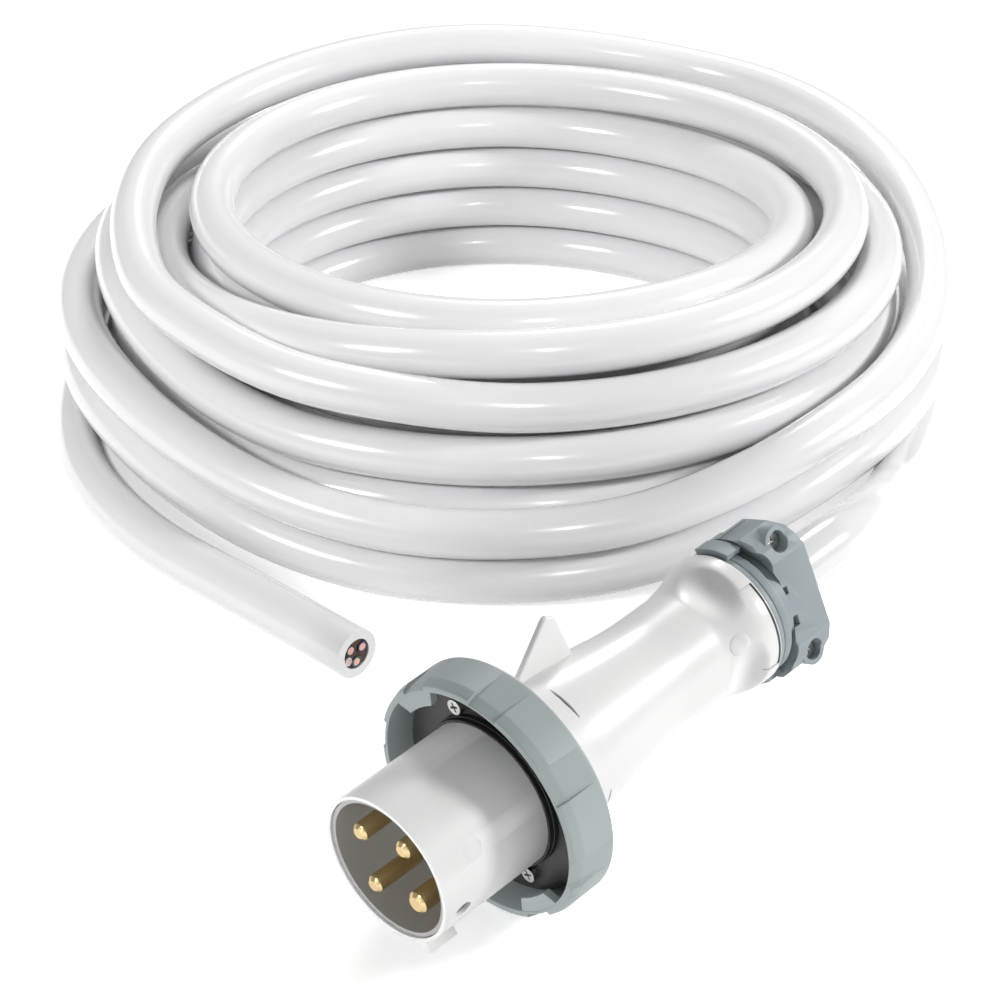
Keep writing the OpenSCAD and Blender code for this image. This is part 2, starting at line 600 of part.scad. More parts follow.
sleeve_housing();
contact_carrier();
line_pin_1();
line_pin_2();
line_pin_3();
earth_pin();
pin_retainer();
terminal_screws();
front_plate();
face_gasket();
assembly_screws();
locking_ring();
body_shell();
gland_bushing();
thrust_washer();
clamp_collar();
clamp_jaw_near();
clamp_jaw_far();
clamp_screws();
clamp_nuts();
cable_tail();
core_line_1();
core_line_2();
core_line_3();
core_earth();
core_ends();
plug_lead();
cord_coil();
end_lead();
end_jacket();
end_insulation_1();
end_insulation_2();
end_insulation_3();
end_insulation_4();
end_copper();
end_filler();
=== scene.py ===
# %% [markdown]
# # A shore power cord
# A boat or a caravan takes its power from a post on the shore through a cord like this one: a thick
# white cable in a coil, and a plug with four pins inside a round sleeve. The CAD model gives every
# piece its place. This lesson dresses it, piece by piece, in Blender.

# %% Load the frame
import math
import bmesh
import bpy
from mathutils import Matrix, Vector
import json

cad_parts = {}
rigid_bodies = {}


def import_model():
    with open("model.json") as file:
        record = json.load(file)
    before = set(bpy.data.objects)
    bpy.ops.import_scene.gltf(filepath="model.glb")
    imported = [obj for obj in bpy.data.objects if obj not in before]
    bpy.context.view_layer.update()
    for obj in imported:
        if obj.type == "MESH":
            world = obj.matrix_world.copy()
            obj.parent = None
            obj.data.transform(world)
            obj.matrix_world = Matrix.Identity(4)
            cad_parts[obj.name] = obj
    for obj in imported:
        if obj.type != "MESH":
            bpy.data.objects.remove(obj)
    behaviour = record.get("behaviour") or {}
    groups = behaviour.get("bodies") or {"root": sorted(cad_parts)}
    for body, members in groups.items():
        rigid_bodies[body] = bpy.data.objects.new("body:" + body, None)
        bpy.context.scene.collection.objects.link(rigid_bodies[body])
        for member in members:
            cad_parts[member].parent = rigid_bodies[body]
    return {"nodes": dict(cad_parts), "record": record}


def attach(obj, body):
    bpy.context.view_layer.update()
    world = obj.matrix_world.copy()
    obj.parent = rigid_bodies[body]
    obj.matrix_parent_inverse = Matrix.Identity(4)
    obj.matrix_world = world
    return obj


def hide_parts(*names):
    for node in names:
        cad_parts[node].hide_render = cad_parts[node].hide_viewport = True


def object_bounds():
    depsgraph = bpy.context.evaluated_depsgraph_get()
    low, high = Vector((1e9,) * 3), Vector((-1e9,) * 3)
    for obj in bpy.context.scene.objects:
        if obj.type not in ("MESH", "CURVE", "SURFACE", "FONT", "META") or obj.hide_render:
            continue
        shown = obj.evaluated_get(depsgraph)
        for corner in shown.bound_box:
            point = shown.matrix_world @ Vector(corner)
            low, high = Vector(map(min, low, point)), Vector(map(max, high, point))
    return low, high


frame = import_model()
cad_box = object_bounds()
print("frame:", len(frame["nodes"]), "nodes")

# %% [markdown]
# ## Where the plug stands
# Blender works in metres, and the plug's own sizes are told in millimetres. The plug lies on its ring,
# so its axis climbs a little towards the cable. A point of the plug is told by a, the distance back
# from the sleeve's rim, by its distance from the axis and by its angle psi round it.

# %% Places on the plug
MM = 0.001
TILT = math.radians(7)
RIM_Y = -122.74 * MM
AXIS_Z = 49.63 * MM
PLUG = Matrix.Translation((0, RIM_Y, AXIS_Z)) @ Matrix.Rotation(TILT, 4, "X")


def on_plug(a, radius=0.0, psi=0.0):
    """The point at a mm behind the rim, radius mm from the axis, psi degrees from +X towards +Z."""
    turn = math.radians(psi)
    return PLUG @ Vector((radius * math.cos(turn) * MM, a * MM, radius * math.sin(turn) * MM))


# %% [markdown]
# ## The camera
# A long lens keeps the coil's loops nearly parallel. It looks down at the coil from in front of the
# plug, so that the pins, the grips and the cut end of the cable all show.

# %% Camera
LENS = 104.84
CAMERA_AT = (0.696, -0.765, 0.767)
CAMERA_DOWN, CAMERA_TURN = 60.06, 44.5

camera = bpy.data.objects.new("camera", bpy.data.cameras.new("camera"))
bpy.context.scene.collection.objects.link(camera)
camera.data.lens = LENS
camera.data.sensor_width = 36
camera.data.clip_end = 50
camera.location = CAMERA_AT
camera.rotation_euler = (math.radians(CAMERA_DOWN), 0, math.radians(CAMERA_TURN))
bpy.context.scene.camera = camera

# %% [markdown]
# ## The cable
# The cable leaves the clamp along the plug's axis, comes down to the floor, goes round the coil 12.5
# times and ends cut off beside the plug. The coil is wound in upright columns: up the outer one, over
# and down the middle one, up between the two, and down the inner one. A helix would be too regular for
# that. Instead a short plan of rows says after how many turns the cable lies how far outwards and how
# high, and a smooth step joins one row to the next.

# %% Plan of the coil
CABLE_D = 25 * MM
CABLE_R = CABLE_D / 2
GAP = 0.75 * MM
COIL_AT = Vector((-331 * MM, 282 * MM))
COIL_R = 235 * MM
COIL_TURN = 44.5
TURNS = 12.5
STEP = 1 + GAP / CABLE_D
MIDDLE, BETWEEN, INNER = -1.1, -1.98, -3.05


def level(n):
    """The height at which the nth layer's centre lies, in cable diameters."""
    return 0.5 + n * STEP


# each row is (turns, distance out from the outer column, height), the last two in cable diameters
plan = []
for n in range(2):
    plan += [(n, .05, level(n)), (n + .22, .15, level(n + 1)), (n + .56, -.05, level(n + 1)),
             (n + .72, 0, level(n)), (n + .76, 0, level(n)), (n + .91, 0, level(n + 1))]
plan += [(2.13, .05, level(3) + .7), (2.28, -1.8, 5.2), (2.5, -1.45, level(4) + .1),
         (2.6, -.95, level(3) + .75), (2.66, -.95, level(3) + .4), (2.78, -1.35, level(3))]
for n in range(2):
    plan += [(n + 3, MIDDLE, level(3 - n)), (n + 3.25, -.9, level(3 - n)),
             (n + 3.5, -.95 - .25 * n, level(3 - n) + .08), (n + 3.68, -1.05, level(2 - n) + .02),
             (n + 3.78, MIDDLE, level(2 - n))]
plan += [(5, -1.6, level(1)), (5.1, BETWEEN, level(1) + .1), (5.5, BETWEEN, 3.7), (5.78, -2, 4.5),
         (6, -1.9, 4.5), (6.25, -2.95, level(4))]
for n in range(4):
    plan += [(n + 6.5, INNER, level(4 - n)), (n + 6.8, INNER, level(4 - n)),
             (n + 7.2, INNER, level(3 - n))]
plan += [(10.5, INNER, level(0)), (10.66, INNER, level(0)), (11, -2.06, level(0)),
         (11.3, -1.95, level(0)), (11.75, -1.15, level(0)), (12, -1.02, level(0)), (12.5, -.05, level(0))]
print("coil:", TURNS, "turns from", len(plan), "rows")


# %% Points of the coil
def smooth(f):
    """A step from 0 to 1 that starts and ends level."""
    f = min(max(f, 0), 1)
    return f * f * (3 - 2 * f)


def coil_point(turn):
    """Where the cable's centre is after so many turns."""
    i = max(k for k in range(len(plan) - 1) if plan[k][0] <= turn or k == 0)
    (t0, c0, h0), (t1, c1, h1) = plan[i], plan[i + 1]
    f = smooth((turn - t0) / (t1 - t0))
    radius = COIL_R + (c0 + (c1 - c0) * f) * CABLE_D
    angle = math.radians(COIL_TURN + 360 * turn)
    return Vector((COIL_AT.x + radius * math.cos(angle), COIL_AT.y + radius * math.sin(angle),
                   (h0 + (h1 - h0) * f) * CABLE_D))


def coil_heading(turn):
    """Which way the cable runs after so many turns."""
    angle = math.radians(COIL_TURN + 360 * turn)
    return Vector((-math.sin(angle), math.cos(angle), 0))


# %% [markdown]
# ## The free stretches
# Where the cable isn't coiled, its points are listed, one about every two cable diameters. A
# curve through all of them puts one more point between each two, so that the stretch bends evenly.

# %% Route of the cable
EXIT_A = 250
CUT = Vector((-168, 17, 12.5)) * MM
CUT_LEN = 30 * MM
LOOP_POINTS = 24
PLUG_ROUTE = [(-3, 175, 82), (-20, 220, 67), (-47, 263, 44), (-75, 308, 23), (-100, 352, 14),
              (-122, 391, 12.5)]
END_ROUTE = [(-445, 69, 12.5), (-403, 42, 12.5), (-357, 25, 12.5), (-308, 17, 12.5),
             (-250, 17, 12.5)]


def catmull(points, k, f):
    """A point between points k and k + 1 on a smooth curve through all of them."""
    p0, p1 = points[max(k - 1, 0)], points[k]
    p2, p3 = points[k + 1], points[min(k + 2, len(points) - 1)]
    return 0.5 * (2 * p1 + (p2 - p0) * f + (2 * p0 - 5 * p1 + 4 * p2 - p3) * f * f
                  + (3 * p1 - p0 - 3 * p2 + p3) * f ** 3)


def finer(points, parts):
    """The same curve with each of its steps cut into parts."""
    out = [catmull(points, k, i / parts) for k in range(len(points) - 1) for i in range(parts)]
    return out + [points[-1]]


exit_point = on_plug(EXIT_A)
plug_axis = Vector((0, math.cos(TILT), math.sin(TILT)))
lead = [exit_point, exit_point + CABLE_D * plug_axis] + [Vector(p) * MM for p in PLUG_ROUTE]
lead.append(coil_point(0) - CABLE_D * coil_heading(0))
tail = [coil_point(TURNS) + CABLE_D * coil_heading(TURNS)] + [Vector(p) * MM for p in END_ROUTE]
tail.append(CUT - Vector((CUT_LEN, 0, 0)))
loops = [coil_point(i / LOOP_POINTS) for i in range(round(TURNS * LOOP_POINTS) + 1)]
route = finer(lead, 2) + loops + finer(tail, 2)
cord_length = sum((b - a).length for a, b in zip(route, route[1:]))
print("cable: %d points, %.3f m" % (len(route), cord_length))

# %% [markdown]
# ## One curve with a round section
# A curve object with a bevel depth is a tube. The handles of a Bezier spline could push it past its
# points, so the line is a poly spline with short steps, and its points are kept a cable's radius inside
# the box of the CAD model. The depth is 1, and each point carries the radius.

# %% Curve of the cable
LINE_PARTS = 5
CORD_NODES = ["plug_lead", "cord_coil", "end_lead"]

curve = bpy.data.curves.new("cord", "CURVE")
curve.dimensions = "3D"
curve.bevel_depth = 1.0
curve.bevel_resolution = 7
line = finer(route, LINE_PARTS)
spline = curve.splines.new("POLY")
spline.points.add(len(line) - 1)
for knot, place in zip(spline.points, line):
    # the jacket stays inside the CAD model's box and on the floor
    x = max(place.x, cad_box[0][0] + CABLE_R)
    y = min(place.y, cad_box[1][1] - CABLE_R)
    knot.co = (x, y, max(place.z, CABLE_R), 1)
    knot.radius = CABLE_R
cord = bpy.data.objects.new("cord", curve)
bpy.context.scene.collection.objects.link(cord)
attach(cord, "cord")
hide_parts(*CORD_NODES)
print("curve:", len(line), "points")

# %% [markdown]
# ## Materials
# Colours are written as sRGB hex, as a colour picker shows them, and one function turns them to the
# linear values that a shader takes. Another adds a node with its settings and its links.


# %% Helpers for materials
def linear(hex_colour):
    """An sRGB hex colour as the linear RGBA that shaders take."""
    parts = [int(hex_colour[i:i + 2], 16) / 255 for i in (1, 3, 5)]
    return tuple(p / 12.92 if p <= 0.04045 else ((p + 0.055) / 1.055) ** 2.4 for p in parts) + (1.0,)


def add(tree, kind, links=(), values=(), **settings):
    """A node with its settings, its input values by name, and links as (input, source socket)."""
    made = tree.nodes.new(kind)
    for key, value in settings.items():
        setattr(made, key, value)
    for key, value in dict(values).items():
        made.inputs[key].default_value = value
    for key, source in dict(links).items():
        tree.links.new(source, made.inputs[key])
    return made


# %% [markdown]
# ## One recipe for plastics, rubber and metal
# Every finish starts from the Principled shader. Noise of a real size in millimetres, on Object
# coordinates, then gives it grain, slow waves or a faint change of colour. Real grain is finer than
# 0.1 mm, and it is drawn about 1 mm wide here, because it wouldn't show otherwise. The plug's white
# also takes painted shade where the surface carries the value "open": in its slits, grooves and edges.

# %% Recipe
COAT_ROUGHNESS = 0.12
MOTTLE_MM, MOTTLE_SHADE = 25, 0.6
# the colour of the painted shade in the plug's slits, grooves and edges
PAINTED_SHADE_COLOUR = "#0C0C0C"


def noise(tree, place, size_mm, detail):
    """Noise with spots of a size in millimetres, as a value from 0 to 1."""
    made = add(tree, "ShaderNodeTexNoise", {"Vector": place}, {"Scale": 1000 / size_mm, "Detail": detail})
    return made.outputs["Fac"]


def material(name, colour, roughness, metallic=0.0, coat=0.0, grain_mm=0.0, grain=0.0, mottle=0.0,
             wave_mm=0.0, wave=0.0, painted_shade=False):
    """A finish: grain is fine bump and wave slow unevenness, in mm; mottle is a faint change of colour."""
    made = bpy.data.materials.new(name)
    made.use_nodes = True
    tree = made.node_tree
    shader = tree.nodes["Principled BSDF"]
    shader.inputs["Base Color"].default_value = linear(colour)
    shader.inputs["Roughness"].default_value = roughness
    shader.inputs["Metallic"].default_value = metallic
    shader.inputs["Coat Weight"].default_value = coat
    shader.inputs["Coat Roughness"].default_value = COAT_ROUGHNESS
    place = add(tree, "ShaderNodeTexCoord").outputs["Object"]
    if mottle:
        ramp = add(tree, "ShaderNodeMapRange", {"Value": noise(tree, place, MOTTLE_MM, 3.0)},
                   {"From Min": 0.3, "From Max": 0.7, "To Min": 1 - mottle, "To Max": 1.0})
        shade = add(tree, "ShaderNodeMix", {"Factor": ramp.outputs["Result"]}, data_type="RGBA")
        shade.inputs["A"].default_value = tuple(c * MOTTLE_SHADE for c in linear(colour)[:3]) + (1,)
        shade.inputs["B"].default_value = linear(colour)
        tree.links.new(shade.outputs["Result"], shader.inputs["Base Color"])
    if painted_shade:
        # painted shade: the white is darkened where the value says, as if one looked into a hollow behind
        # it
        hollow = add(tree, "ShaderNodeAttribute", attribute_name="open")
        deep = add(tree, "ShaderNodeMix", {"Factor": hollow.outputs["Fac"]}, data_type="RGBA")
        deep.inputs["A"].default_value = linear(colour)
        deep.inputs["B"].default_value = linear(PAINTED_SHADE_COLOUR)
        tree.links.new(deep.outputs["Result"], shader.inputs["Base Color"])
    normal = None
    for size_mm, depth, detail in ((wave_mm, wave, 1.0), (grain_mm, grain, 2.0)):
        if depth:
            links = {"Height": noise(tree, place, size_mm, detail)}
            if normal:
                links["Normal"] = normal
            bump = add(tree, "ShaderNodeBump", links, {"Strength": 1.0, "Distance": depth * MM})
            normal = bump.outputs["Normal"]
    if normal:
        tree.links.new(normal, shader.inputs["Normal"])
    return made


# %% Finishes: white
# PVC leaves the extruder smooth and wet-looking, with slow waves that make long highlights waver
jacket = material("extruded PVC jacket, gloss white", "#EAEAEB", 0.22, coat=0.5, wave_mm=34, wave=0.5,
                  grain_mm=1.2, grain=0.01)
# PBT copies its polished mould: a soft, even shine with hardly any grain; its slits and grooves get painted
# shade
plug_white = material("moulded PBT, satin white", "#F0F0EF", 0.34, coat=0.25, grain_mm=0.8, grain=0.008,
                      painted_shade=True)

# %% Finishes: grey and black
# plain nylon from a fine mould: satin, with a broad and quiet highlight
ring_grey = material("moulded nylon, satin grey", "#ACB6B6", 0.45, mottle=0.06, grain_mm=0.7, grain=0.02)
# glass fibres near the surface make nylon duller and a little cloudy
clamp_grey = material("moulded glass-filled nylon, grey", "#9AA4A8", 0.5, mottle=0.08, grain_mm=0.7,
                      grain=0.03)
# phenolic is pressed, not injected, and comes out dry and matte
carrier_grey = material("moulded phenolic, matte grey", "#B0B0AF", 0.55, mottle=0.05, grain_mm=0.7,
                        grain=0.02)
# black nylon shows little but the light along its edges
plate_black = material("moulded nylon, black", "#2E2E2D", 0.4, grain_mm=0.7, grain=0.02)
# rubber is darker still, with a dull sheen where it bends
rubber = material("nitrile rubber, black", "#1E1E1E", 0.45, grain_mm=0.5, grain=0.02)

# %% Finishes: metals and the cut end
# turned brass is bright, and patchy where it has been handled
brass = material("turned brass", "#E4CB98", 0.3, metallic=1.0, mottle=0.2)
# nickel plate is a cool, clear mirror
steel = material("nickel-plated steel", "#C9C9C6", 0.25, metallic=1.0)
# drawn copper is pink, with a thin bright line along each strand
copper = material("drawn copper strand", "#E8BEB0", 0.32, metallic=0.9)
# the cores' insulation is smooth PVC that was cut with a blade
insulation = {"core_black": material("PVC insulation, black", "#161616", 0.4),
              "core_blue": material("PVC insulation, dark blue", "#25204A", 0.4),
              "core_white": material("PVC insulation, white", "#E8E8EC", 0.4),
              "core_green": material("PVC insulation, green", "#2A4A4E", 0.4)}
# paper filler is dry, fibrous and has no shine
filler = material("paper filler, brown", "#58463A", 0.9, mottle=0.3, grain_mm=0.6, grain=0.2)

# %% Finishes on the pieces
by_slot = {"jacket_white": jacket, "plug_white": plug_white, "ring_grey": ring_grey,
           "clamp_grey": clamp_grey, "carrier_grey": carrier_grey, "plate_black": plate_black,
           "gasket_black": rubber, "brass": brass, "steel": steel, "copper": copper,
           "filler_brown": filler, **insulation}
slot_of = {s["node"]: s["material_slot"] for s in frame["record"]["subparts"]}
cord.data.materials.append(jacket)
for name, piece in frame["nodes"].items():
    piece.data.materials.clear()
    piece.data.materials.append(by_slot[slot_of[name]])
print("finishes:", len(by_slot))

# %% [markdown]
# ## Turned and moulded pieces
# The white body and the grey ring are surfaces wound round the plug's axis. A row of stations gives
# radius and place along the axis; a small function may change the radius at each angle. Cutting with
# booleans would leave hard seams, while this makes the finger dimples, the slits, the bare panel and
# the grips one unbroken skin with soft edges.


# %% Winding a surface round the axis
def finished(name, mesh, node, body, slot, sharp=38):
    """Shade a mesh smooth up to its sharp edges and set it in the place of a node, if one is named."""
    made = bpy.data.objects.new(name, mesh)
    bpy.context.scene.collection.objects.link(made)
    mesh.shade_smooth()
    mesh.set_sharp_from_angle(angle=math.radians(sharp))
    mesh.materials.clear()
    mesh.materials.append(by_slot[slot])
    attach(made, body)
    if node:
        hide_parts(node)
    return made


def outward(mesh):
    """Turn the faces of a closed mesh so that all of them point outwards."""
    work = bmesh.new()
    work.from_mesh(mesh)
    bmesh.ops.recalc_face_normals(work, faces=work.faces)
    work.to_mesh(mesh)
    work.free()
    return mesh


def store_painted_shade(mesh, values):
    """Store at each point how much painted shade the plug's white takes there."""
    mesh.attributes.new("open", "FLOAT", "POINT").data.foreach_set("value", values)


def wound(name, stations, angles, shape):
    """A closed skin: each station is (a, radius), and shape gives the radius and painted shade at each
    angle.
    """
    rows = [[shape(a, r, psi) for psi in angles] for a, r in stations]
    places = [on_plug(a, p[0], psi) for (a, r), row in zip(stations, rows) for psi, p in zip(angles, row)]
    n, m = len(stations), len(angles)
    faces = [(i * m + k, i * m + (k + 1) % m, (i + 1) % n * m + (k + 1) % m, (i + 1) % n * m + k)
             for i in range(n) for k in range(m)]
    mesh = bpy.data.meshes.new(name)
    mesh.from_pydata(places, [], faces)
    store_painted_shade(mesh, [p[1] for row in rows for p in row])
    return outward(mesh)


def spread(start, end, step):
    """Even steps from start up to, but not at, end."""
    count = max(round((end - start) / step), 1)
    return [start + (end - start) * i / count for i in range(count)]


# %% [markdown]
# ## The body
# It narrows to a waist and flares to its rear. Four round hollows across the flare are the finger
# dimples. Two slits behind the ring are cut 3 mm deep, and painted shade makes them look open to the
# dark inside. A bare recessed panel sits at the rear end, with painted shade along its edges.

# %% Sizes of the body
FACET_DEG = 1.5
FRONT_R, WAIST_R, TAIL_R = 34, 27, 32.4
SHELL_A, TAPER_A, WAIST_A, FLARE_A, BULGE_A, END_A = 79, 91, 162, 181, 206, 211
DIMPLES = (77, 167, 257, 347)
DIMPLE_A, DIMPLE_FLOOR, HOLLOW_R, DIMPLE_SOFT, DIMPLE_DEG = 191, 25.9, 13.4, 2.6, 60
# each slit is (middle angle, half its angle, a, half its width)
SLITS = ((68.5, 14.5, 96.7, 0.7), (-18, 8, 98.2, 0.6))
# a slit's depth, and the width over which its wall and its painted shade fade in
SLIT_DEPTH, SLIT_EDGE = 3, 0.2
PANEL_PSI, PANEL_A, PANEL_DEPTH, PANEL_EDGE = (-17, 60), (201, 210), 0.6, 0.3
# painted shade along the panel's rear wall and its sides: where, how soft and how dark
REAR_LINE_A, REAR_LINE_EDGE, REAR_LINE_PAINTED_SHADE = (209.1, 210.1), 0.2, 0.9
SIDE_LINE_W, SIDE_LINE_PAINTED_SHADE = 0.5, 0.5


# %% Shape of the body
def plain_body(a):
    """The body's radius without dimples, slits and panel."""
    if a < FLARE_A:
        return FRONT_R + (WAIST_R - FRONT_R) * smooth((a - TAPER_A) / (WAIST_A - TAPER_A))
    return WAIST_R + (TAIL_R - WAIST_R) * smooth((a - FLARE_A) / (BULGE_A - FLARE_A))


def off(psi, middle):
    """How far psi is from a middle angle, the short way round."""
    return (psi - middle + 180) % 360 - 180


def soft_least(x, y, soft):
    """The smaller of two values, with a rounded corner where they meet."""
    h = max(soft - abs(x - y), 0) / soft
    return min(x, y) - h * h * soft / 4


def with_dimples(a, r, psi):
    """The radius where a round tool pressed across the body leaves its hollows."""
    for middle in DIMPLES:
        lean = off(psi, middle)
        reach = HOLLOW_R ** 2 - (a - DIMPLE_A) ** 2
        if abs(lean) < DIMPLE_DEG and reach > 0:
            hollow = (DIMPLE_FLOOR + HOLLOW_R - math.sqrt(reach)) / math.cos(math.radians(lean))
            r = soft_least(r, hollow, DIMPLE_SOFT)
    return r


def slit_at(a, psi):
    """How far a place is inside a slit, from 0 to 1, which sets its depth and its painted shade."""
    cut = 0.0
    for middle, half, at, width in SLITS:
        lean = off(psi, middle) / half
        if abs(lean) < 1:
            inside = width * math.sqrt(1 - lean * lean) - abs(a - at)
            cut = max(cut, smooth(inside / SLIT_EDGE))
    return cut


def panel_at(a, psi):
    """How deep the panel is at a place, and how much painted shade lies along its edges, both from 0 to 1.
    """
    low, high = PANEL_PSI
    inside = (high - low) / 2 - abs(off(psi, (low + high) / 2))
    side = smooth(inside / PANEL_EDGE)
    depth = side * smooth((a - PANEL_A[0]) / PANEL_EDGE) * smooth((PANEL_A[1] - a) / PANEL_EDGE)
    start, end = REAR_LINE_A
    rear = side * smooth((a - start) / REAR_LINE_EDGE) * smooth((end - a) / REAR_LINE_EDGE)
    sides = depth * (1 - smooth((inside - SIDE_LINE_W) / PANEL_EDGE))
    return depth, max(REAR_LINE_PAINTED_SHADE * rear, SIDE_LINE_PAINTED_SHADE * sides)


def body_skin(a, r, psi):
    """Radius and painted shade of the body. The hub and the narrow bore keep their plain round shape."""
    if not (SHELL_A + 1 < a < END_A and r > WAIST_R - 1):
        return r, 0.0
    cut = slit_at(a, psi)
    depth, painted_line_shade = panel_at(a, psi)
    return with_dimples(a, r, psi) - SLIT_DEPTH * cut - PANEL_DEPTH * depth, max(cut, painted_line_shade)


# %% Body
# extra angles, in degrees in from each side of the panel, for its wall and the painted shade along it
WALL_STEPS = (-0.3, 0, 0.15, 0.3, 0.6, 0.9)
# the hub under the ring, with the shoulder's rounded rim
hub = [(70, 29), (70, 44.5), (75.3, 44.5), (75.3, 46.9), (75.5, 47.3), (75.9, 47.5), (78.4, 47.5),
       (78.8, 47.3), (79, 46.9), (79, 34.8), (79.2, 34.2)]
# stations stand close where the slits, the dimples and the panel's ends are
outer = (spread(80, 95.6, 2) + spread(95.6, 99.2, 0.15) + spread(99.2, 176, 2) + spread(176, 200.6, 0.7)
         + [200.6, 201, 201.15, 201.3, 201.6] + spread(202.4, 208.8, 0.8)
         + [208.8, 209.1, 209.2, 209.3, 209.7, 209.85, 210, 210.3])
# the rounded rear edge, the clamp's seat and the hollow inside
inner = [(210.8, 32.1), (211, 31.6), (211, 27.25), (200, 27.25), (199, 24), (162, 23.8), (91, 30.5),
         (80, 30.5), (79, 29)]
body_stations = hub + [(a, plain_body(a)) for a in outer] + inner
panel_walls = [PANEL_PSI[0] + d for d in WALL_STEPS] + [PANEL_PSI[1] - d for d in WALL_STEPS]
body_angles = sorted({round(a % 360, 3) for a in spread(0, 360, FACET_DEG) + panel_walls})
body = finished("plug_body", wound("plug_body", body_stations, body_angles, body_skin), "body_shell",
                "cord", "plug_white")
print("body:", len(body.data.polygons), "faces")

# %% [markdown]
# ## The mark of an ejector
# A faint round button beside a dimple is most likely where a rod pushed the body out of its mould. It
# follows the surface under it, so it is laid on ring by ring. Its foot carries a little painted shade.

# %% Round mark
MARK_PSI, MARK_A, MARK_R, MARK_H = 22, 190, 5, 0.22
# the mark's sides, and how much painted shade its foot takes
MARK_SIDES, MARK_FOOT_PAINTED_SHADE = 40, 0.4


def under_mark(a, psi):
    """The body's radius under the mark."""
    return with_dimples(a, plain_body(a), psi)


def round_mark(name, psi, a, radius, height, skin):
    """A shallow round button that follows the surface under it."""
    # distance from the middle and height: a level top, a rounded edge and a foot sunk into the body
    rings = [(radius * 0.5, height), (radius - 0.35, height), (radius - 0.12, height * 0.6),
             (radius, -0.1)]
    places = [on_plug(a, skin(a, psi) + height, psi)]
    for ring, lift in rings:
        for k in range(MARK_SIDES):
            turn = 2 * math.pi * k / MARK_SIDES
            at, lean = a + ring * math.cos(turn), psi + math.degrees(ring * math.sin(turn) / skin(a, psi))
            places.append(on_plug(at, skin(at, lean) + lift, lean))
    around = [(k, (k + 1) % MARK_SIDES) for k in range(MARK_SIDES)]
    faces = [(0, 1 + k, 1 + after) for k, after in around]
    for i in range(len(rings) - 1):
        low, high = 1 + i * MARK_SIDES, 1 + (i + 1) * MARK_SIDES
        faces += [(low + k, high + k, high + after, low + after) for k, after in around]
    mesh = bpy.data.meshes.new(name)
    mesh.from_pydata(places, [], faces)
    store_painted_shade(mesh, [0.0] * (len(places) - MARK_SIDES) + [MARK_FOOT_PAINTED_SHADE] * MARK_SIDES)
    return mesh


finished("body_mark", round_mark("body_mark", MARK_PSI, MARK_A, MARK_R, MARK_H, under_mark), None,
         "cord", "plug_white")

# %% [markdown]
# ## The fin
# A thin plate leans back from the ring. Its outline is told on the plug, two copies of it are joined
# to a slab, and a Bevel modifier rounds the slab's edges.

# %% Slabs with rounded edges
BEVEL_FROM_DEG = 35


def slab(name, sides):
    """A solid between two outlines of the same number of points."""
    near, far = sides
    n = len(near)
    mesh = bpy.data.meshes.new(name)
    mesh.from_pydata(near + far, [], [tuple(range(n)), tuple(range(2 * n - 1, n - 1, -1))]
                     + [(k, n + k, n + (k + 1) % n, (k + 1) % n) for k in range(n)])
    return outward(mesh)


def rounded(piece, width_mm, segments):
    """Round the edges of a piece that meet at more than a flat angle."""
    bevel = piece.modifiers.new("rounded edges", "BEVEL")
    bevel.width = width_mm * MM
    bevel.segments = segments
    bevel.limit_method = "ANGLE"
    bevel.angle_limit = math.radians(BEVEL_FROM_DEG)
    bevel.harden_normals = True


# %% Fin
FIN_PSI, FIN_T, FIN_EDGE = 110, 3.6, 1.3
FIN = ((85, 30.9), (116, 52.5), (117.5, 53), (122, 50.5), (124, 30.9))


def fin_side(sign):
    """The fin's outline on one side of its middle plane."""
    across = Vector((-math.sin(math.radians(FIN_PSI)), 0, math.cos(math.radians(FIN_PSI))))
    shift = PLUG.to_3x3() @ across * (sign * FIN_T / 2 * MM)
    return [on_plug(a, r, FIN_PSI) + shift for a, r in FIN]


fin = finished("plug_fin", slab("plug_fin", (fin_side(-1), fin_side(1))), None, "cord", "plug_white")
rounded(fin, FIN_EDGE, 4)

# %% [markdown]
# ## The locking ring
# Eight grips are pressed into its outside. Each is deepest near the front, where it slopes off to the
# edge, and runs out towards the rear. The ring is wound like the body, with extra angles at the sides
# of each grip so that their walls stay crisp.

# %% Shape of the ring
RING_R, RING_BORE, RING_A, RING_FULL_A, RING_END_A = 57, 52.5, 52, 57, 75
GRIPS, GRIP_DEG, GRIP_FIRST, GRIP_WALL_DEG = 8, 16.5, 79.75, 0.3
GRIP_STEP = 360 / GRIPS
# a grip's floor rises 1 mm in 3 from the front and 1 mm in 10 to the rear
GRIP_FRONT_A, GRIP_FRONT_R, GRIP_FRONT_RUN = 51, 53.4, 3
GRIP_DEPTH, GRIP_REAR_RUN = 1.6, 10
# the grips stay this far away from the bore and from the rear edge
GRIP_KEEP = 1.5


def ring_skin(a, r, psi):
    """Radius of the ring. The grips are cut into its outside alone."""
    if r > RING_BORE + GRIP_KEEP and a < RING_END_A - GRIP_KEEP:
        lean = abs((psi - GRIP_FIRST + GRIP_STEP / 2) % GRIP_STEP - GRIP_STEP / 2)
        inside = smooth((GRIP_DEG / 2 - lean) / GRIP_WALL_DEG)
        if a < RING_FULL_A:
            floor_r = GRIP_FRONT_R + (a - GRIP_FRONT_A) / GRIP_FRONT_RUN
        else:
            floor_r = RING_R - GRIP_DEPTH + (a - RING_FULL_A) / GRIP_REAR_RUN
        r -= max(r - floor_r, 0) * inside
    return r, 0.0


